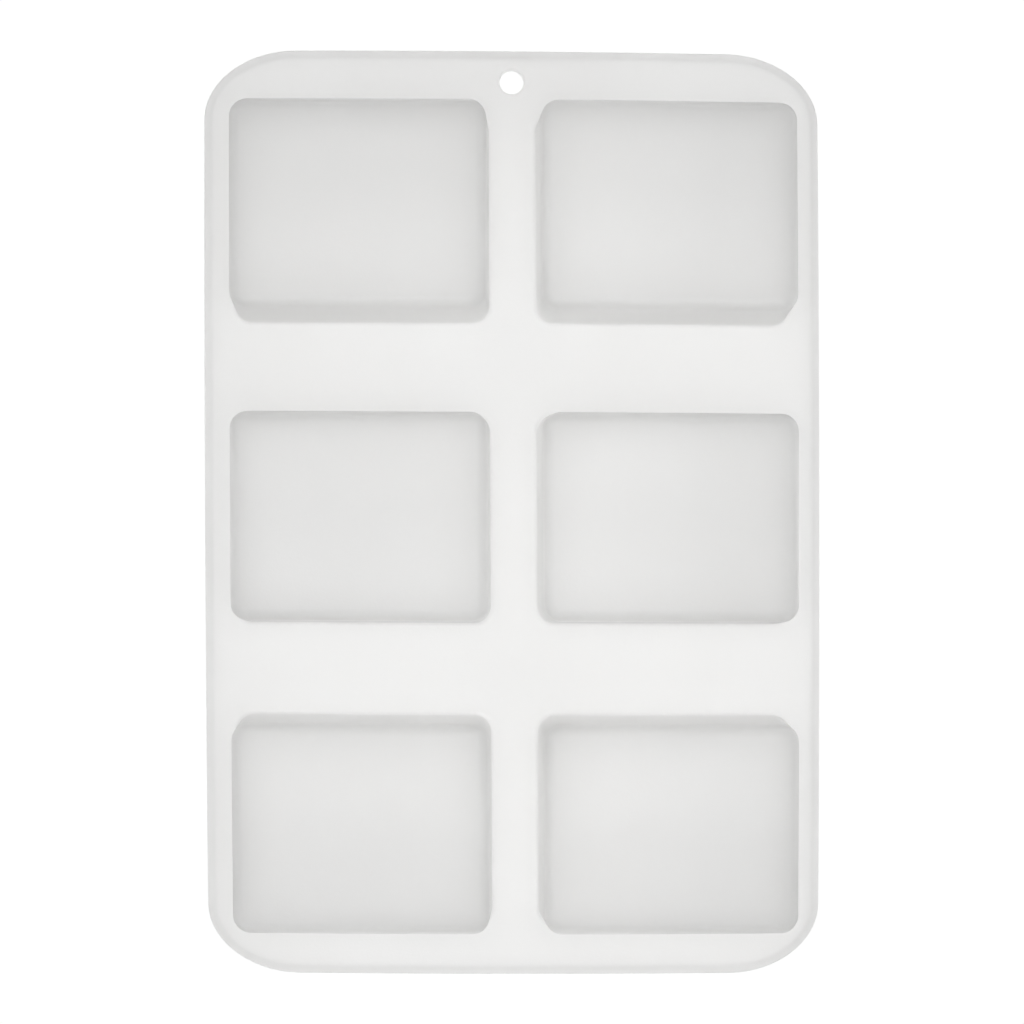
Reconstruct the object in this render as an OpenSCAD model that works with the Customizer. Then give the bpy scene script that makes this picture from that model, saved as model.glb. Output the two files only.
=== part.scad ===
// Six-bar silicone soap mould, standing on its pocket floors with the open side up.
// The real mould is one moulding: each node is one named region of it, meeting its neighbours face to face.

/* [Plate] */
// overall width across the two columns of pockets
plate_w = 180; // [172:1:260]
// overall length along the three rows of pockets
plate_l = 270; // [250:1:400]
// silicone thickness of the deck
deck_t = 2; // [1.6:0.1:4]
// half-axis of the elliptical plate corners, across the plate
corner_rx = 26.9; // [12:0.1:32]
// half-axis of the elliptical plate corners, along the plate
corner_ry = 20.2; // [12:0.1:26]

/* [Rim] */
// how far the raised rim runs outward from the flat deck
rim_run = 3.1; // [3:0.1:4]
// how far the rim's crest stands above the deck's top face
rim_rise = 1.5; // [1:0.1:6]

/* [Pockets] */
// distance between the two column centres
pitch_x = 87.5; // [77:0.5:96]
// distance between row centres
pitch_y = 87.5; // [76:0.5:92]
// how far the pocket group is moved from the plate's centre, toward the plain end
group_back = 2; // [0:0.1:8]
// outside width of a pocket, just above its floor
pocket_w = 72; // [50:0.5:78]
// outside length of a pocket, just above its floor
pocket_l = 58.8; // [40:0.5:70]
// depth of a cavity, from the deck's top face to the floor
cavity_h = 25; // [12:0.5:50]
// silicone thickness of the pocket walls and floors
wall_t = 2; // [1:0.1:3]
// corner radius of a pocket seen from above, outside and just above its floor
pocket_r = 5; // [3.5:0.1:6.9]
// rounding between a pocket's floor and its walls, outside
foot_r = 3.4; // [2.2:0.1:4.8]
// draft of the pocket walls in degrees
draft = 2.6; // [0:0.1:8]

/* [Floor panels] */
// how far the thumb-pressed panel stays inside the pocket's outside walls
panel_in = 7.3; // [6:0.1:12]
// gap between a floor panel and the ring it is pushed out of
panel_gap = 0.3; // [0.2:0.05:1]

/* [Flexing strips] */
// width of each strip that bends between two rows
flex_l = 12; // [6:0.5:20]

/* [Hanging hole] */
// diameter of the hanging hole
hole_d = 7; // [3:0.1:12]
// distance from the hole's centre to the plate's end
hole_in = 9.3; // [7:0.1:14]

/* [Hidden] */
silicone = [0.93, 0.93, 0.92];
floor_t = wall_t;
back_z = floor_t + cavity_h - deck_t;
top_z = back_z + deck_t;
hw = plate_w / 2;
hl = plate_l / 2;
in_w = hw - rim_run;
col_x = pitch_x / 2;
row_y = [pitch_y - group_back, -group_back, -pitch_y - group_back];
axis_y = [pitch_y / 2 - group_back, -pitch_y / 2 - group_back];
cx = pocket_w / 2 - pocket_r;
cy = pocket_l / 2 - pocket_r;
base_r = 0.9;
mouth_r = 1.2;
flange_past = 0.3;
arc_n = 6;
corner_n = 14;
panel_r = 3;

// a point at radius r and angle a about c
function at(c, r, a) = [c[0] + r * cos(a), c[1] + r * sin(a)];
// arc_n + 1 points from angle a to angle b
function arc(c, r, a, b) = [for (i = [0 : arc_n]) at(c, r, a + (b - a) * i / arc_n)];

// wall section: x runs outward from the line joining the corner centres, y is the height
foot_c = [pocket_r - foot_r, foot_r];
function outer_x(z) = at(foot_c, foot_r, -draft)[0] + (z - at(foot_c, foot_r, -draft)[1]) * tan(draft);
base_c = [outer_x(back_z - base_r) + base_r / cos(draft), back_z - base_r];
mouth_c = [outer_x(top_z - mouth_r) + (mouth_r - wall_t) / cos(draft), top_z - mouth_r];
// where the section ends in the flat deck: a round number just past the rounding at the wall's base
flange = ceil((base_c[0] + flange_past) * 10) / 10;
wall_section = concat(
    [[0, 0]],
    arc(foot_c, foot_r, -90, -draft),
    arc(base_c, base_r, 180 - draft, 90),
    [[flange, back_z], [flange, top_z]],
    arc(mouth_c, mouth_r, 90, 180 - draft),
    arc(foot_c, foot_r - wall_t, -draft, -90),
    [[0, floor_t]]);

// rim section: x runs outward from the flat deck, y is the height
crest_z = top_z + rim_rise;
rim_section = [
    [0, back_z], [0.6, back_z + 0.06], [1.2, back_z + 0.3], [2.6, back_z + 0.95], [2.95, back_z + 1.2],
    [rim_run, back_z + 1.6], [rim_run, crest_z - 0.8], [2.95, crest_z - 0.35], [2.6, crest_z - 0.05],
    [2.2, crest_z], [1.8, crest_z - 0.3], [0.95, top_z + 0.45], [0.5, top_z + 0.12], [0, top_z]];

// the plate's end outline as [x, y, outward x, outward y], from the right side over the end to the left
function ring_at(x, y, t) =
    let (n = [cos(t) / corner_rx, sin(t) / corner_ry], m = norm(n))
    [x + corner_rx * cos(t), y + corner_ry * sin(t), n[0] / m, n[1] / m];
function end_line(y0) = concat(
    [[hw, y0, 1, 0]],
    [for (i = [0 : corner_n]) ring_at(hw - corner_rx, hl - corner_ry, 90 * i / corner_n)],
    [for (i = [0 : corner_n]) ring_at(corner_rx - hw, hl - corner_ry, 90 + 90 * i / corner_n)],
    [[-hw, y0, -1, 0]]);

module rounded(w, l, r) {
    square([w, l - 2 * r], center = true);
    square([w - 2 * r, l], center = true);
    for (sx = [-1, 1], sy = [-1, 1])
        translate([sx * (w / 2 - r), sy * (l / 2 - r)]) circle(r = r, $fn = 64);
}

module at_pocket(column, row) {
    translate([column * col_x, row_y[row], 0]) children();
}

// the wall section swept once round a pocket, with the floor's outer ring
module pocket_wall(column, row) {
    color(silicone) at_pocket(column, row) union() {
        for (s = [0, 180]) rotate([0, 0, s]) {
            translate([0, cy, 0]) rotate([90, 0, 90])
                linear_extrude(height = 2 * cx, center = true) polygon(wall_section);
            translate([cx, 0, 0]) rotate([90, 0, 0])
                linear_extrude(height = 2 * cy, center = true) polygon(wall_section);
            translate([cx, cy, 0]) rotate_extrude(angle = 90, $fn = 96) polygon(wall_section);
            translate([-cx, cy, 0]) rotate([0, 0, 90])
                rotate_extrude(angle = 90, $fn = 96) polygon(wall_section);
        }
        linear_extrude(height = floor_t) difference() {
            square([2 * cx, 2 * cy], center = true);
            rounded(pocket_w - 2 * panel_in + 2 * panel_gap, pocket_l - 2 * panel_in + 2 * panel_gap,
                panel_r + panel_gap);
        }
    }
}

module pocket_floor(column, row) {
    color(silicone) at_pocket(column, row) linear_extrude(height = floor_t)
        rounded(pocket_w - 2 * panel_in, pocket_l - 2 * panel_in, panel_r);
}

// openings that a row's two pockets make in the deck
module pocket_holes(row) {
    for (column = [-1, 1])
        translate([column * col_x, row_y[row]]) rounded(2 * (cx + flange), 2 * (cy + flange), flange);
}

// the flat deck of an end row, from y0 to the rim; drawn for the +Y end
module end_deck_outline(y0) {
    polygon([for (p = end_line(y0)) [p[0] - rim_run * p[2], p[1] - rim_run * p[3]]]);
}

module deck_hook_end() {
    color(silicone) translate([0, 0, back_z]) linear_extrude(height = deck_t) difference() {
        end_deck_outline(axis_y[0] + flex_l / 2);
        pocket_holes(0);
        translate([0, hl - hole_in]) circle(d = hole_d, $fn = 64);
    }
}

module deck_middle() {
    y0 = axis_y[1] + flex_l / 2;
    y1 = axis_y[0] - flex_l / 2;
    color(silicone) translate([0, 0, back_z]) linear_extrude(height = deck_t) difference() {
        translate([-in_w, y0]) square([2 * in_w, y1 - y0]);
        pocket_holes(1);
    }
}

module deck_plain_end() {
    color(silicone) translate([0, 0, back_z]) linear_extrude(height = deck_t) difference() {
        mirror([0, 1]) end_deck_outline(flex_l / 2 - axis_y[1]);
        pocket_holes(2);
    }
}

// a straight piece of rim from y0 to y1; side is 1 at +X and -1 at -X
module rim_straight(side, y0, y1) {
    mirror([side < 0 ? 1 : 0, 0, 0]) translate([in_w, y1, 0]) rotate([90, 0, 0])
        linear_extrude(height = y1 - y0) polygon(rim_section);
}

// the rim of one end, swept along the outline; drawn for the +Y end
module rim_end(y0) {
    line = end_line(y0);
    m = len(rim_section);
    n = len(line);
    points = [for (p = line, q = rim_section)
        [p[0] + (q[0] - rim_run) * p[2], p[1] + (q[0] - rim_run) * p[3], q[1]]];
    sides = [for (i = [0 : n - 2], j = [0 : m - 1])
        let (a = i * m + j, b = i * m + (j + 1) % m) each [[a, a + m, b], [b, a + m, b + m]]];
    caps = [[for (j = [0 : m - 1]) j], [for (j = [m - 1 : -1 : 0]) (n - 1) * m + j]];
    polyhedron(points, concat(sides, caps), convexity = 6);
}

module rim_hook_end() { color(silicone) rim_end(axis_y[0] + flex_l / 2); }
module rim_plain_end() { color(silicone) mirror([0, 1, 0]) rim_end(flex_l / 2 - axis_y[1]); }
module rim_middle_left() {
    color(silicone) rim_straight(-1, axis_y[1] + flex_l / 2, axis_y[0] - flex_l / 2);
}
module rim_middle_right() {
    color(silicone) rim_straight(1, axis_y[1] + flex_l / 2, axis_y[0] - flex_l / 2);
}

// a strip that bends between two rows, with its two short pieces of rim
module flex_strip(i) {
    y0 = axis_y[i] - flex_l / 2;
    color(silicone) union() {
        translate([-in_w, y0, back_z]) cube([2 * in_w, flex_l, deck_t]);
        for (side = [-1, 1]) rim_straight(side, y0, y0 + flex_l);
    }
}

module flex_strip_hook_side() { flex_strip(0); }
module flex_strip_plain_side() { flex_strip(1); }

module pocket_wall_hook_left() { pocket_wall(-1, 0); }
module pocket_wall_hook_right() { pocket_wall(1, 0); }
module pocket_wall_middle_left() { pocket_wall(-1, 1); }
module pocket_wall_middle_right() { pocket_wall(1, 1); }
module pocket_wall_plain_left() { pocket_wall(-1, 2); }
module pocket_wall_plain_right() { pocket_wall(1, 2); }

module pocket_floor_hook_left() { pocket_floor(-1, 0); }
module pocket_floor_hook_right() { pocket_floor(1, 0); }
module pocket_floor_middle_left() { pocket_floor(-1, 1); }
module pocket_floor_middle_right() { pocket_floor(1, 1); }
module pocket_floor_plain_left() { pocket_floor(-1, 2); }
module pocket_floor_plain_right() { pocket_floor(1, 2); }

deck_hook_end();
deck_middle();
deck_plain_end();
flex_strip_hook_side();
flex_strip_plain_side();
rim_hook_end();
rim_plain_end();
rim_middle_left();
rim_middle_right();
pocket_wall_hook_left();
pocket_wall_hook_right();
pocket_wall_middle_left();
pocket_wall_middle_right();
pocket_wall_plain_left();
pocket_wall_plain_right();
pocket_floor_hook_left();
pocket_floor_hook_right();
pocket_floor_middle_left();
pocket_floor_middle_right();
pocket_floor_plain_left();
pocket_floor_plain_right();
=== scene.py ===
"""Silicone soap mould: the looks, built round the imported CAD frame.

Lengths in the code are millimetres until MM turns them to metres.
"""
import math

import bmesh
import bpy
import numpy as np
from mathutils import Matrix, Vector
from mathutils.geometry import delaunay_2d_cdt


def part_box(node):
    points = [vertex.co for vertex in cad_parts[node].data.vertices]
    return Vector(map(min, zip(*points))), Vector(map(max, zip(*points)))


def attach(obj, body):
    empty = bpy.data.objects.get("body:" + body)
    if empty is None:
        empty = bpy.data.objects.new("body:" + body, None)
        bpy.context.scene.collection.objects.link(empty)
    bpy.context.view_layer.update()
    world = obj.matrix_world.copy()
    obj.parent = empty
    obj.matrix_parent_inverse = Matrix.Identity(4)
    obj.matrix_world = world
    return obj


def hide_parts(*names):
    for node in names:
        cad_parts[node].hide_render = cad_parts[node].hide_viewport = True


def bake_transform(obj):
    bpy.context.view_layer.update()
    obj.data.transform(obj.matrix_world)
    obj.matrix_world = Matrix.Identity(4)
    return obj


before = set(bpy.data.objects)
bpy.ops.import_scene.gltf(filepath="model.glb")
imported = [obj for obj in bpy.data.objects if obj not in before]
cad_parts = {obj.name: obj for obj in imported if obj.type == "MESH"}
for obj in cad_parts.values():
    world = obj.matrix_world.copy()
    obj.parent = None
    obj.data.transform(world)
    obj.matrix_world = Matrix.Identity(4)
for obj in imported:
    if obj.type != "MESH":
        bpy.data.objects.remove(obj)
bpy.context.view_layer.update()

MM = 0.001

# ---------------------------------------------------------------- sizes, read from the CAD nodes


def mm_box(node):
    lo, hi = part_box(node)
    return [c / MM for c in lo], [c / MM for c in hi]


DECK_LO, DECK_HI = mm_box("deck_middle")
BACK_Z, TOP_Z = DECK_LO[2], DECK_HI[2]
IN_W = DECK_HI[0]
HALF_W, HALF_L, CREST_Z = mm_box("rim_hook_end")[1]
RIM_RUN = HALF_W - IN_W
# half-axes of the plate's elliptical corners
CORNER_RX, CORNER_RY = 26.9, 20.2
ROWS = ("hook", "middle", "plain")
SIDES = {"left": -1, "right": 1}
# the hanging hole's radius, and how far its centre is from the plate's end
HOLE_R, HOLE_IN = 3.5, 9.3

WALL_LO, WALL_HI = mm_box("pocket_wall_middle_right")
# how far a pocket's wall piece reaches out past its corner centres, which are at CX and CY
FLANGE = 7.2
CX = (WALL_HI[0] - WALL_LO[0]) / 2 - FLANGE
CY = (WALL_HI[1] - WALL_LO[1]) / 2 - FLANGE
# a pocket's corner radius, and the rounding at its foot, under the deck and at its mouth
POCKET_R, FOOT_R, BASE_R, MOUTH_R = 5.0, 3.4, 0.9, 1.2
DRAFT, WALL_T = math.radians(2.6), 2.0


def pocket_centre(row, side):
    lo, hi = mm_box(f"pocket_wall_{row}_{side}")
    return (lo[0] + hi[0]) / 2, (lo[1] + hi[1]) / 2


def axis_y(strip):
    lo, hi = mm_box(strip)
    return (lo[1] + hi[1]) / 2


HOOK_AXIS, PLAIN_AXIS = axis_y("flex_strip_hook_side"), axis_y("flex_strip_plain_side")
# half the length of a bending strip, and how far inside the flat deck its seam with the rim lies
BEND = 11.0
SEAM_IN = 1.0
# the flat strips at the start of a wall's section, on the floor, and at its end, on the deck
FLOOR_EDGE, MOUTH_EDGE = 0.3, 0.9

# ---------------------------------------------------------------- how the soft plate has settled


def settle(p):
    """The real mould is soft and lies a little out of true: small smooth shifts in its own plane.

    The weights were fitted to the photo's edges, then rounded.
    """
    x, y = p[:, 0] / HALF_W, p[:, 1] / HALF_L
    q = p.copy()
    q[:, 0] += 0.6 * y + 0.26 * x * y + 0.4 * x * x + 0.08 * y * y - 0.2 * x * x * y - 0.57 * x * y * y
    q[:, 1] += 0.42 * x + 0.15 * y + 0.36 * x * y - 0.65 * x * x * y
    return q


# ---------------------------------------------------------------- sections


def arc(c, r, a0, a1, n):
    angles = [a0 + (a1 - a0) * i / n for i in range(n + 1)]
    return [(c[0] + r * math.cos(a), c[1] + r * math.sin(a)) for a in angles]


def outer_line(z):
    x0, z0 = POCKET_R - FOOT_R + FOOT_R * math.cos(DRAFT), FOOT_R - FOOT_R * math.sin(DRAFT)
    return x0 + (z - z0) * math.tan(DRAFT)


def between(a, b, n):
    return [(a[0] + (b[0] - a[0]) * i / n, a[1] + (b[1] - a[1]) * i / n) for i in range(1, n)]


def wall_sections():
    """The outside and the inside of a pocket wall, each from the floor outward and up to the deck."""
    quarter = math.pi / 2
    foot = (POCKET_R - FOOT_R, FOOT_R)
    base = (outer_line(BACK_Z - BASE_R) + BASE_R / math.cos(DRAFT), BACK_Z - BASE_R)
    mouth = (outer_line(TOP_Z - MOUTH_R) + (MOUTH_R - WALL_T) / math.cos(DRAFT), TOP_Z - MOUTH_R)
    foot_out = arc(foot, FOOT_R, -quarter, -DRAFT, 10)
    base_out = arc(base, BASE_R, math.pi - DRAFT, quarter, 6)
    outside = [(0, 0), (FLOOR_EDGE, 0)] + foot_out
    outside += between(foot_out[-1], base_out[0], 5) + base_out + [(FLANGE, BACK_Z)]
    foot_in = arc(foot, FOOT_R - WALL_T, -quarter, -DRAFT, 6)
    mouth_in = arc(mouth, MOUTH_R, math.pi - DRAFT, quarter, 7)
    within = [(0, WALL_T), (FLOOR_EDGE, WALL_T)] + foot_in
    within += between(foot_in[-1], mouth_in[0], 5) + mouth_in
    within += [(FLANGE - MOUTH_EDGE, TOP_Z), (FLANGE, TOP_Z)]
    return outside, within


def rim_section():
    """The rim from the deck's back, round its crest, to the deck's top.

    x runs outward from the flat deck. The points are a drawn curve.
    """
    under = [(-SEAM_IN, 0), (-0.5, 0), (0, 0), (0.3, 0.015), (0.6, 0.06), (0.9, 0.16), (1.2, 0.3),
             (1.65, 0.51), (2.1, 0.72), (2.5, 0.91), (2.72, 1.03), (2.9, 1.17), (3.02, 1.34), (3.08, 1.5),
             (3.1, 1.7)]
    crest = [(3.1, -1.2), (3.1, -0.85), (3.06, -0.6), (2.96, -0.36), (2.8, -0.16), (2.6, -0.04),
             (2.4, 0.0), (2.2, 0.0), (2.02, -0.08), (1.8, -0.26)]
    inner = [(1.52, 0.98), (1.24, 0.72), (0.95, 0.46), (0.72, 0.27), (0.5, 0.13), (0.25, 0.03), (0, 0),
             (-0.5, 0), (-SEAM_IN, 0)]
    return ([(x, BACK_Z + z) for x, z in under] + [(x, CREST_Z + z) for x, z in crest]
            + [(x, TOP_Z + z) for x, z in inner])


# ---------------------------------------------------------------- paths: (x, y, outward x, outward y)


def steps(a, b, size):
    n = max(1, round(abs(b - a) / size))
    return [a + (b - a) * i / n for i in range(n + 1)]


def pocket_path(cx, cy):
    """Round the rectangle of corner centres, anticlockwise from the +X side."""
    path = []
    corner, straight = 12, 9
    corners = ((1, 1), (-1, 1), (-1, -1), (1, -1))
    for k, (sx, sy) in enumerate(corners):
        for i in range(corner + 1):
            t = math.pi / 2 * (k + i / corner)
            path.append((sx * cx, sy * cy, math.cos(t), math.sin(t)))
        nx, ny = corners[(k + 1) % 4]
        t = math.pi / 2 * (k + 1)
        for f in range(1, straight):
            x = sx * cx + (nx - sx) * cx * (f / straight)
            y = sy * cy + (ny - sy) * cy * (f / straight)
            path.append((x, y, math.cos(t), math.sin(t)))
    return path


def round_pocket(station, r, corner):
    """A point r outside a station of pocket_path.

    Past the corner radius, the corners move out and stay as round.
    """
    x, y, nx, ny = station
    over = max(0.0, r - corner)
    return x * (1 + over / CX) + (r - over) * nx, y * (1 + over / CY) + (r - over) * ny


def end_path(y0):
    """The plate's outline round the +Y end, from the right side at y0 to the left side at y0."""
    ex, ey = HALF_W - CORNER_RX, HALF_L - CORNER_RY
    corner = 28
    right = [(HALF_W, y, 1.0, 0.0) for y in steps(y0, ey, 4)[:-1]]
    for i in range(corner + 1):
        t = math.pi / 2 * i / corner
        n = Vector((math.cos(t) / CORNER_RX, math.sin(t) / CORNER_RY)).normalized()
        right.append((ex + CORNER_RX * math.cos(t), ey + CORNER_RY * math.sin(t), n.x, n.y))
    top = [(x, HALF_L, 0.0, 1.0) for x in steps(ex, -ex, 4)[1:-1]]
    left = [(-x, y, -nx, ny) for x, y, nx, ny in reversed(right)]
    return right + top + left


def side_path(side, y0, y1, size=4):
    return [(side * HALF_W, y, float(side), 0.0) for y in steps(y0, y1, size)]


# ---------------------------------------------------------------- mesh building


# a flat triangle smaller than this, doubled, in square mm, is only rounding along a straight edge
SLIVER = 1e-3
# points closer than this, in metres, are one point
MERGE = 2e-6


def edge_distance(point, loop):
    """How far a point is from the nearest edge of a closed loop."""
    a = np.array(loop, float)
    ab = np.roll(a, -1, axis=0) - a
    t = np.clip(((point - a) * ab).sum(1) / np.maximum((ab ** 2).sum(1), 1e-12), 0, 1)
    return float(np.min(np.linalg.norm(a + ab * t[:, None] - point, axis=1)))


def inside(p, loop):
    """True if the point is inside the closed loop."""
    a = np.array(loop, float)
    b = np.roll(a, -1, 0)
    over = (a[:, 1] > p[1]) != (b[:, 1] > p[1])
    with np.errstate(divide="ignore", invalid="ignore"):
        x = a[:, 0] + (p[1] - a[:, 1]) * (b[:, 0] - a[:, 0]) / (b[:, 1] - a[:, 1])
    return bool(np.count_nonzero(over & (p[0] < x)) % 2)


class Skin:
    """Vertices and faces in millimetres, joined where they meet."""

    def __init__(self):
        self.v, self.f = [], []

    def sweep(self, path, section, closed, base=0.0, flip=False, corner=None):
        """section points (r, z) carried along path: point = station + (r + base) * outward.

        With corner given, path is a pocket's, and its corners keep that radius where r is larger.
        """
        start, m, n = len(self.v), len(section), len(path)
        for station in path:
            if corner is None:
                x, y, nx, ny = station
                self.v += [(x + (r + base) * nx, y + (r + base) * ny, z) for r, z in section]
            else:
                self.v += [(*round_pocket(station, r, corner), z) for r, z in section]
        for i in range(n if closed else n - 1):
            a, b = start + i * m, start + (i + 1) % n * m
            for j in range(m - 1):
                quad = (a + j, b + j, b + j + 1, a + j + 1)
                self.f.append(quad[::-1] if flip else quad)

    def plane(self, loops, z, up, grid=5.0):
        """A flat sheet inside the first loop and outside the others."""
        pts, edges = [], []
        for loop in loops:
            s = len(pts)
            pts += [Vector(p) for p in loop]
            edges += [(s + i, s + (i + 1) % len(loop)) for i in range(len(loop))]
        outer = np.array(loops[0], float)
        lo, hi = outer.min(0), outer.max(0)
        inner = []
        for gx in np.arange(lo[0] + grid / 2, hi[0], grid):
            for gy in np.arange(lo[1] + grid / 2, hi[1], grid):
                if inside((gx, gy), loops[0]) and not any(inside((gx, gy), h) for h in loops[1:]):
                    # well clear of every edge, so that no triangle is a sliver
                    if min(edge_distance((gx, gy), loop) for loop in loops) > grid * 0.35:
                        inner.append(Vector((gx, gy)))
        verts, _, faces, *_ = delaunay_2d_cdt(pts + inner, edges, [], 0, 1e-5)
        start = len(self.v)
        self.v += [(p[0], p[1], z) for p in verts]
        for tri in faces:
            a, b, d = (Vector(verts[i]) for i in tri)
            c = (a + b + d) / 3
            if (b - a).cross(d - a) < SLIVER:
                continue
            if inside(c, loops[0]) and not any(inside(c, h) for h in loops[1:]):
                tri = [start + i for i in tri]
                self.f.append(tri if up else tri[::-1])

    def grid_faces(self, start, rows, n, up):
        """The faces between rows of n points each, the first of them at start."""
        for i in range(rows - 1):
            for j in range(n - 1):
                a = start + i * n + j
                quad = (a, a + n, a + n + 1, a + 1)
                self.f.append(quad if up else quad[::-1])

    def build(self, name, shift=(0, 0), turn=False):
        v = np.array(self.v, float)
        if turn:
            v[:, 1] *= -1
            self.f = [tuple(reversed(f)) for f in self.f]
        v[:, 0] += shift[0]
        v[:, 1] += shift[1]
        v = settle(v) * MM
        mesh = bpy.data.meshes.new(name)
        mesh.from_pydata([tuple(p) for p in v], [], [tuple(f) for f in self.f])
        bm = bmesh.new()
        bm.from_mesh(mesh)
        bmesh.ops.remove_doubles(bm, verts=bm.verts, dist=MERGE)
        bmesh.ops.dissolve_degenerate(bm, edges=bm.edges, dist=MERGE / 2)
        bm.to_mesh(mesh)
        bm.free()
        mesh.shade_smooth()
        mesh.update()
        obj = bpy.data.objects.new(name, mesh)
        bpy.context.scene.collection.objects.link(obj)
        return obj


# ---------------------------------------------------------------- pieces


def flange_loop(row, side, corner):
    """The edge of a pocket's wall piece in the deck."""
    x0, y0 = pocket_centre(row, side)
    ring = [round_pocket(station, FLANGE, corner) for station in pocket_path(CX, CY)]
    return [(x0 + x, y0 + y) for x, y in ring]


def wall_piece(row, side):
    name = f"pocket_wall_{row}_{side}"
    outside, within = wall_sections()
    skin, path = Skin(), pocket_path(CX, CY)
    skin.sweep(path, outside, closed=True, corner=POCKET_R)
    skin.sweep(path, within, closed=True, flip=True, corner=POCKET_R - WALL_T)
    obj = skin.build(name + "_skin", pocket_centre(row, side))
    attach(obj, f"{row}_row")
    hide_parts(name)
    return obj


# how many fields a floor has round its middle, and the middle's share of the floor
FIELDS = 16
LIFTED = 0.42
# rows and columns of faces in each field
FIELD_ROWS, FIELD_COLUMNS = 18, 6


def still_point(k):
    """Corner k of the ring where the lift has died away."""
    t = 2 * math.pi * (k + 0.5) / FIELDS
    return Vector((CX * math.cos(t), CY * math.sin(t)))


def split(corners, size=2.0):
    """The closed outline through the corners, with points along its sides."""
    out = []
    for (x0, y0), (x1, y1) in zip(corners, corners[1:] + corners[:1]):
        n = max(1, math.ceil(math.hypot(x1 - x0, y1 - y0) / size))
        out += [(x0 + (x1 - x0) * i / n, y0 + (y1 - y0) * i / n) for i in range(n)]
    return out


def floor_pieces(row, side):
    """A floor: a middle that rides with the pressed panel, and fields round it."""
    name, centre = f"pocket_floor_{row}_{side}", pocket_centre(row, side)
    still = [still_point(k) for k in range(FIELDS)]
    lifted = [p * LIFTED for p in still]
    on_end = [abs(p.x) / CX > abs(p.y) / CY for p in still]
    rim = [p / max(abs(p.x) / CX, abs(p.y) / CY) for p in still]
    # the settled pocket's centre
    at = settle(np.array([[*centre, 0.0]]))[0]
    out = [floor_sheet(name + "_middle", lifted, centre)]
    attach(out[0], f"floor_{row}_{side}")
    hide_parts(name)
    for k in range(FIELDS):
        nxt = (k + 1) % FIELDS
        corner = []
        if on_end[k] != on_end[nxt]:
            toward = rim[k] + rim[nxt]
            corner = [Vector((math.copysign(CX, toward.x), math.copysign(CY, toward.y)))]
        near_side = steps_along([lifted[k], lifted[nxt]], FIELD_COLUMNS)
        far_side = steps_along([rim[k]] + corner + [rim[nxt]], FIELD_COLUMNS)
        obj = floor_field(f"{name}_field_{k}", near_side, far_side, centre)
        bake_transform(obj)
        out.append(obj)
    return out


def floor_sheet(name, corners, centre):
    """Both faces of the flat middle of a floor."""
    skin = Skin()
    for z, up in ((0.0, False), (WALL_T, True)):
        skin.plane([split(corners)], z, up, grid=2.5)
    return skin.build(name, centre)


def steps_along(corners, n):
    """Points along the open line through the corners, in n steps shared equally by its stretches."""
    per = n // (len(corners) - 1)
    out = [corners[0]]
    for a, b in zip(corners, corners[1:]):
        out += [a + (b - a) * (i / per) for i in range(1, per + 1)]
    return out


def floor_field(name, near_side, far_side, centre):
    """Both faces of a field of a floor, in even rows from its near side out to its far side."""
    skin, n = Skin(), len(near_side)
    for z, up in ((0.0, False), (WALL_T, True)):
        start = len(skin.v)
        for i in range(FIELD_ROWS + 1):
            skin.v += [(*a.lerp(b, i / FIELD_ROWS), z) for a, b in zip(near_side, far_side)]
        skin.grid_faces(start, FIELD_ROWS + 1, n, up)
    return skin.build(name, centre)


# each face of the deck: its height, whether it faces up, and the corner radius of its openings
DECK_FACES = ((BACK_Z, False, POCKET_R), (TOP_Z, True, POCKET_R - WALL_T))


def end_deck(row):
    """The flat deck of an end row, drawn at the +Y end."""
    hook = row == "hook"
    y0 = (HOOK_AXIS if hook else -PLAIN_AXIS) + BEND
    inset = RIM_RUN + SEAM_IN
    outline = [(x - inset * nx, y - inset * ny) for x, y, nx, ny in end_path(y0)]
    cut = [(x, y0) for x in steps(-(IN_W - SEAM_IN), IN_W - SEAM_IN, 4)[1:-1]]
    skin, round_holes = Skin(), []
    if hook:
        # the hole's own ring of faces is lip wide, inside the flat deck
        y_hole, lip = HALF_L - HOLE_IN, 1.2
        turns = [math.tau * i / 64 for i in range(64)]
        ring = [(0.0, y_hole, math.cos(t), math.sin(t)) for t in turns]
        round_holes = [[(x + (HOLE_R + lip) * nx, y + (HOLE_R + lip) * ny) for x, y, nx, ny in ring]]
        # the rounding of the hole's edges, beneath and above
        under, over = 0.8, 0.3
        low = [(HOLE_R + lip, BACK_Z)]
        low += arc((HOLE_R + under, BACK_Z + under), under, -math.pi / 2, -math.pi, 7)
        high = arc((HOLE_R + over, TOP_Z - over), over, math.pi, math.pi / 2, 5)
        high.append((HOLE_R + lip, TOP_Z))
        skin.sweep(ring, low + high, closed=True, flip=True)
    for z, up, corner in DECK_FACES:
        pockets = [flange_loop(row, side, corner) for side in SIDES]
        pockets = pockets if hook else [[(x, -y) for x, y in loop] for loop in pockets]
        skin.plane([outline + cut] + pockets + round_holes, z, up)
    name = f"deck_{row}_end"
    obj = skin.build(name + "_skin", turn=not hook)
    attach(obj, f"{row}_row")
    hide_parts(name)
    return obj


def middle_deck():
    y0, y1 = PLAIN_AXIS + BEND, HOOK_AXIS - BEND
    w = IN_W - SEAM_IN
    xs, ys = steps(-w, w, 4), steps(y0, y1, 4)
    outline = [(x, y0) for x in xs] + [(w, y) for y in ys[1:-1]]
    outline += [(x, y1) for x in reversed(xs)] + [(-w, y) for y in reversed(ys[1:-1])]
    skin = Skin()
    for z, up, corner in DECK_FACES:
        skin.plane([outline] + [flange_loop("middle", side, corner) for side in SIDES], z, up)
    obj = skin.build("deck_middle_skin")
    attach(obj, "middle_row")
    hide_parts("deck_middle")
    return obj


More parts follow.
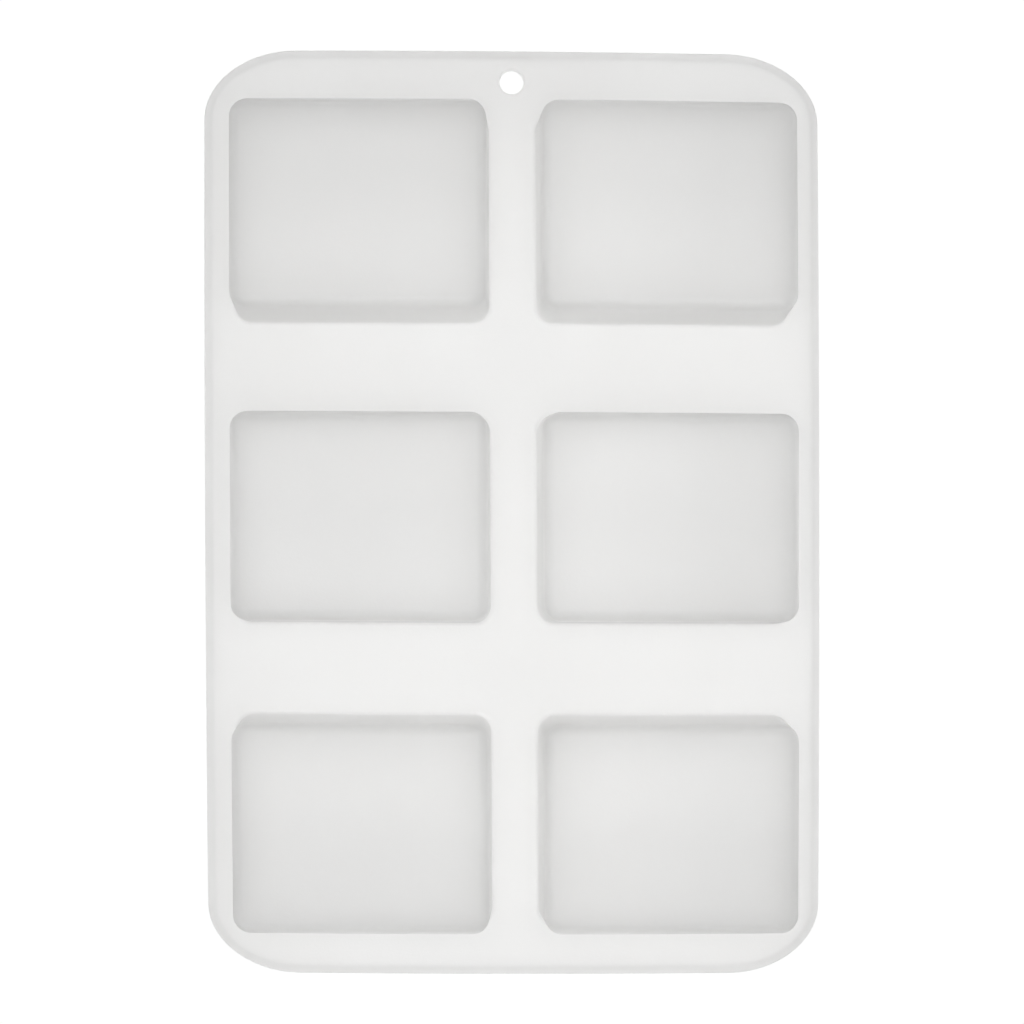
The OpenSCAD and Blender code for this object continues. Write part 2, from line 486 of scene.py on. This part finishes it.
def rim_pieces():
    section = rim_section()
    out = []
    for row, y0 in (("hook", HOOK_AXIS + BEND), ("plain", -PLAIN_AXIS + BEND)):
        skin = Skin()
        skin.sweep(end_path(y0), section, closed=False, base=-RIM_RUN)
        obj = skin.build(f"rim_{row}_end_skin", turn=row == "plain")
        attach(obj, f"{row}_row")
        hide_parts(f"rim_{row}_end")
        out.append(obj)
    for side, s in SIDES.items():
        skin = Skin()
        path = side_path(s, PLAIN_AXIS + BEND, HOOK_AXIS - BEND)
        skin.sweep(path, section, closed=False, base=-RIM_RUN, flip=s < 0)
        obj = skin.build(f"rim_middle_{side}_skin")
        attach(obj, "middle_row")
        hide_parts(f"rim_middle_{side}")
        out.append(obj)
    return out


def flex_piece(name, y_axis):
    """The strip of deck and rim between two rows."""
    y0, y1 = y_axis - BEND, y_axis + BEND
    w = IN_W - SEAM_IN
    section = rim_section()
    skin = Skin()
    for z, up in ((BACK_Z, False), (TOP_Z, True)):
        xs, ys = steps(-w, w, 4), steps(y0, y1, 1)
        start = len(skin.v)
        skin.v += [(x, y, z) for x in xs for y in ys]
        skin.grid_faces(start, len(xs), len(ys), up)
    for s in (1, -1):
        skin.sweep(side_path(s, y0, y1, 1), section, closed=False, base=-RIM_RUN, flip=s < 0)
    obj = skin.build(name + "_skin")
    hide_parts(name)
    z = (BACK_Z + TOP_Z) / 2
    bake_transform(obj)
    return obj


# ---------------------------------------------------------------- materials


def nodes_of(name):
    mat = bpy.data.materials.new(name)
    mat.use_nodes = True
    tree = mat.node_tree
    tree.nodes.clear()
    return mat, tree


def link(tree, a, b):
    tree.links.new(a, b)


def silicone_material():
    """White translucent silicone: a satin skin that lets part of the light through."""
    mat, tree = nodes_of("silicone")
    new = tree.nodes.new
    coord = new("ShaderNodeTexCoord")
    cloud = new("ShaderNodeTexNoise")
    cloud.inputs["Scale"].default_value = 22
    cloud.inputs["Detail"].default_value = 3
    link(tree, coord.outputs["Object"], cloud.inputs["Vector"])
    tint = new("ShaderNodeValToRGB")
    tint.color_ramp.elements[0].position, tint.color_ramp.elements[1].position = 0.3, 0.7
    tint.color_ramp.elements[0].color = (0.948, 0.946, 0.941, 1)
    tint.color_ramp.elements[1].color = (0.960, 0.959, 0.955, 1)
    link(tree, cloud.outputs["Fac"], tint.inputs["Fac"])
    rough = new("ShaderNodeMapRange")
    rough.inputs["To Min"].default_value, rough.inputs["To Max"].default_value = 0.42, 0.52
    link(tree, cloud.outputs["Fac"], rough.inputs["Value"])
    grain = new("ShaderNodeTexNoise")
    grain.inputs["Scale"].default_value = 1400
    grain.inputs["Detail"].default_value = 2
    link(tree, coord.outputs["Object"], grain.inputs["Vector"])
    bump = new("ShaderNodeBump")
    bump.inputs["Strength"].default_value = 0.12
    bump.inputs["Distance"].default_value = 0.0002
    link(tree, grain.outputs["Fac"], bump.inputs["Height"])
    skin = new("ShaderNodeBsdfPrincipled")
    skin.inputs["IOR"].default_value = 1.41
    skin.inputs["Transmission Weight"].default_value = 0.5
    skin.inputs["Specular IOR Level"].default_value = 0.35
    link(tree, tint.outputs["Color"], skin.inputs["Base Color"])
    link(tree, rough.outputs["Result"], skin.inputs["Roughness"])
    link(tree, bump.outputs["Normal"], skin.inputs["Normal"])
    through = new("ShaderNodeBsdfTranslucent")
    link(tree, tint.outputs["Color"], through.inputs["Color"])
    link(tree, bump.outputs["Normal"], through.inputs["Normal"])
    mix = new("ShaderNodeMixShader")
    mix.inputs["Fac"].default_value = 0.5
    link(tree, skin.outputs["BSDF"], mix.inputs[1])
    link(tree, through.outputs["BSDF"], mix.inputs[2])
    out = new("ShaderNodeOutputMaterial")
    link(tree, mix.outputs["Shader"], out.inputs["Surface"])
    return mat


def floor_material():
    """Pale paper, seen only from above: from beneath the plane is clear, as a sheet of glass would be."""
    mat, tree = nodes_of("pale_floor")
    new = tree.nodes.new
    geo = new("ShaderNodeNewGeometry")
    paper = new("ShaderNodeBsdfDiffuse")
    paper.inputs["Color"].default_value = (0.80, 0.80, 0.795, 1)
    clear = new("ShaderNodeBsdfTransparent")
    mix = new("ShaderNodeMixShader")
    link(tree, geo.outputs["Backfacing"], mix.inputs["Fac"])
    link(tree, paper.outputs["BSDF"], mix.inputs[1])
    link(tree, clear.outputs["BSDF"], mix.inputs[2])
    out = new("ShaderNodeOutputMaterial")
    link(tree, mix.outputs["Shader"], out.inputs["Surface"])
    return mat


# ---------------------------------------------------------------- studio

# Soft light by direction: the brightness at each height of the direction, from straight down at -1 to
# straight up at 1, toward the plain end and toward the hook end. The level directions are dark, so that
# the walls read as walls. These levels and the lamps' watts were fitted to the photo's brightness, then
# rounded.
SKY_HEIGHTS = (-1.0, -0.7, -0.4, 0.0, 0.4, 0.7, 1.0)
SKY_SOUTH = (0.0, 0.82, 0.56, 0.0, 0.0, 0.4, 1.7)
SKY_NORTH = (0.0, 0.34, 0.36, 0.0, 0.0, 0.4, 1.7)
SKY_POWER = 4.0
HORIZON = 0.49    # the backdrop's grey where it meets the floor; it is white overhead
# lamps close round the mould: name, place, aimed at the mould's middle, size and watts
LAMPS = (
    ("below", (0.0, -0.03, -0.4), 0.3, 0.72),
    ("left", (-0.4, 0.0, 0.22), 0.25, 0.7),
    ("right", (0.4, 0.0, 0.22), 0.25, 0.46),
    ("plain_end", (0.0, -0.45, 0.22), 0.25, 0.7),
    ("hook_end", (0.0, 0.45, 0.22), 0.25, 0.5),
)


def studio():
    scene = bpy.context.scene
    mesh = bpy.data.meshes.new("floor")
    half = 4.0
    corners = [(-half, -half, 0), (half, -half, 0), (half, half, 0), (-half, half, 0)]
    mesh.from_pydata(corners, [], [(0, 1, 2, 3)])
    floor = bpy.data.objects.new("floor", mesh)
    scene.collection.objects.link(floor)
    # a hair beneath the pockets
    floor.location.z = -0.0002
    mesh.materials.append(floor_material())
    for flag in ("visible_diffuse", "visible_glossy", "visible_transmission", "visible_shadow"):
        setattr(floor, flag, False)

    world = bpy.data.worlds.new("studio")
    scene.world = world
    world.use_nodes = True
    tree = world.node_tree
    tree.nodes.clear()
    new = tree.nodes.new
    coord = new("ShaderNodeTexCoord")
    split = new("ShaderNodeSeparateXYZ")
    tree.links.new(coord.outputs["Generated"], split.inputs["Vector"])
    height = new("ShaderNodeMapRange")
    height.inputs["From Min"].default_value, height.inputs["From Max"].default_value = -1, 1
    tree.links.new(split.outputs["Z"], height.inputs["Value"])
    across = new("ShaderNodeMapRange")
    across.inputs["From Min"].default_value, across.inputs["From Max"].default_value = -1, 1
    tree.links.new(split.outputs["Y"], across.inputs["Value"])
    both = new("ShaderNodeMix")
    both.data_type = "RGBA"
    tree.links.new(across.outputs["Result"], both.inputs["Factor"])
    # 6 and 7 are the colour inputs of the mix, and 2 is its colour output
    for socket, sky in ((6, SKY_SOUTH), (7, SKY_NORTH)):
        ramp = new("ShaderNodeValToRGB")
        stops = ramp.color_ramp.elements
        for z, level in zip(SKY_HEIGHTS, sky):
            stop = stops[0] if z == -1.0 else stops[-1] if z == 1.0 else stops.new((z + 1) / 2)
            stop.color = (level / SKY_POWER, level / SKY_POWER, level / SKY_POWER, 1)
        tree.links.new(height.outputs["Result"], ramp.inputs["Fac"])
        tree.links.new(ramp.outputs["Color"], both.inputs[socket])
    lit = new("ShaderNodeBackground")
    lit.inputs["Strength"].default_value = SKY_POWER
    tree.links.new(both.outputs[2], lit.inputs["Color"])
    backdrop = new("ShaderNodeValToRGB")
    stops = backdrop.color_ramp.elements
    stops[0].color, stops[1].color = (HORIZON, HORIZON, HORIZON, 1), (1, 1, 1, 1)
    stops[0].position, stops[1].position = 0.52, 0.85
    tree.links.new(height.outputs["Result"], backdrop.inputs["Fac"])
    seen = new("ShaderNodeBackground")
    tree.links.new(backdrop.outputs["Color"], seen.inputs["Color"])
    seen.inputs["Strength"].default_value = 1.02
    path = new("ShaderNodeLightPath")
    mix = new("ShaderNodeMixShader")
    tree.links.new(path.outputs["Is Camera Ray"], mix.inputs["Fac"])
    tree.links.new(lit.outputs["Background"], mix.inputs[1])
    tree.links.new(seen.outputs["Background"], mix.inputs[2])
    out = new("ShaderNodeOutputWorld")
    tree.links.new(mix.outputs["Shader"], out.inputs["Surface"])

    scene.view_settings.view_transform = "Standard"

    all_but_floor = bpy.data.collections.new("all_but_floor")
    all_but_floor.objects.link(floor)
    all_but_floor.collection_objects[0].light_linking.link_state = "EXCLUDE"
    middle = Vector((0, 0, 0.02))
    for name, place, size, watts in LAMPS:
        data = bpy.data.lights.new(name, "AREA")
        data.shape = "DISK"
        data.size = size
        data.energy = watts
        lamp = bpy.data.objects.new(name, data)
        scene.collection.objects.link(lamp)
        lamp.location = place
        lamp.rotation_mode = "QUATERNION"
        lamp.rotation_quaternion = (middle - Vector(place)).to_track_quat("-Z", "Y")
        lamp.visible_camera = False
        lamp.light_linking.receiver_collection = all_but_floor


# from the camera to the deck's back
CAMERA_DISTANCE = 540


def camera():
    """Square on to the mould's back, from beneath. Place, lens and shift were fitted to the photo's edges."""
    data = bpy.data.cameras.new("camera")
    cam = bpy.data.objects.new("camera", data)
    bpy.context.scene.collection.objects.link(cam)
    cam.location = (0.0131, -0.0193, (BACK_Z - CAMERA_DISTANCE) * MM)
    cam.rotation_mode = "QUATERNION"
    cam.rotation_quaternion = Vector((0, 0, 1)).to_track_quat("-Z", "Y")
    data.sensor_width = 36
    data.lens = 64.99
    data.shift_x, data.shift_y = 0.04215, 0.065
    data.clip_start, data.clip_end = 0.01, 50
    bpy.context.scene.camera = cam


# ---------------------------------------------------------------- the mould

camera()
silicone = silicone_material()
made = [end_deck("hook"), middle_deck(), end_deck("plain")]
made += rim_pieces()
made.append(flex_piece("flex_strip_hook_side", HOOK_AXIS))
made.append(flex_piece("flex_strip_plain_side", PLAIN_AXIS))
for row in ROWS:
    for side in SIDES:
        made.append(wall_piece(row, side))
        made += floor_pieces(row, side)
for piece in made:
    piece.data.materials.append(silicone)

studio()
